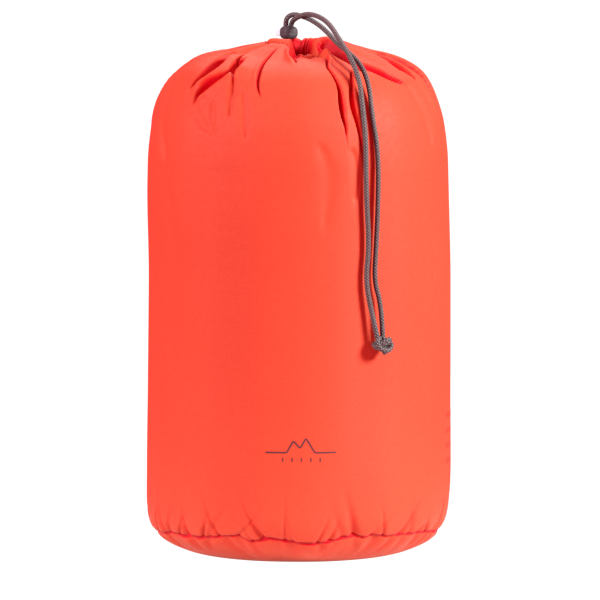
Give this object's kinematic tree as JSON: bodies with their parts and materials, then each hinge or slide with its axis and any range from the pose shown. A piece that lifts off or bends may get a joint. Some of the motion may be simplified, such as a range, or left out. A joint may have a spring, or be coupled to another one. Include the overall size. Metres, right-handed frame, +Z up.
{
  "type": "stuff sack",
  "caption": "Round-based drawcord stuff sack, filled and cinched shut, with a sliding cord lock and two knotted cord tails.",
  "frame": {"origin": "on the floor, under the middle of the round base", "axes": "+Z up through the base towards the mouth, -Y towards the face that the cord tails hang down, +X to the right of that face"},
  "size_m": [0.1794, 0.1797, 0.3236],
  "materials": {
    "ripstop_cloth": "thin coral-red nylon with a fine diamond ripstop grid and a soft sheen",
    "sewing_thread": "dark red polyester thread",
    "braided_cord": "round braided cord, dark warm grey with lighter flecks",
    "lock_plastic": "moulded dark warm grey plastic",
    "plunger_plastic": "milky translucent plastic",
    "spring_steel": "bare spring wire"
  },
  "bodies": {
    "sack": {"wall_panel": "ripstop_cloth", "base_panel": "ripstop_cloth", "cord_hem": "ripstop_cloth", "base_seam_stitching": "sewing_thread", "side_seam_stitching": "sewing_thread", "hem_stitching": "sewing_thread", "exit_bar_tacks": "sewing_thread", "drawcord_in_hem": "braided_cord", "drawcord_tail_front": "braided_cord", "drawcord_tail_back": "braided_cord", "cord_knot": "braided_cord"},
    "lock": {"lock_barrel": "lock_plastic", "lock_spring": "spring_steel"},
    "plunger": {"lock_plunger": "plunger_plastic"}
  },
  "joints": [
    {"name": "lock_slide", "type": "slide", "parent": "sack", "child": "lock", "axis": [0, 0, 1], "range_m": [0, 0.003], "deforming": ["drawcord_tail_front", "drawcord_tail_back"]},
    {"name": "plunger_press", "type": "slide", "parent": "lock", "child": "plunger", "axis": [0.4695, -0.8829, 0], "range_m": [0, 0.0014], "stiffness_N_per_m": 300, "springref_m": -0.006, "deforming": ["lock_spring"]}
  ]
}
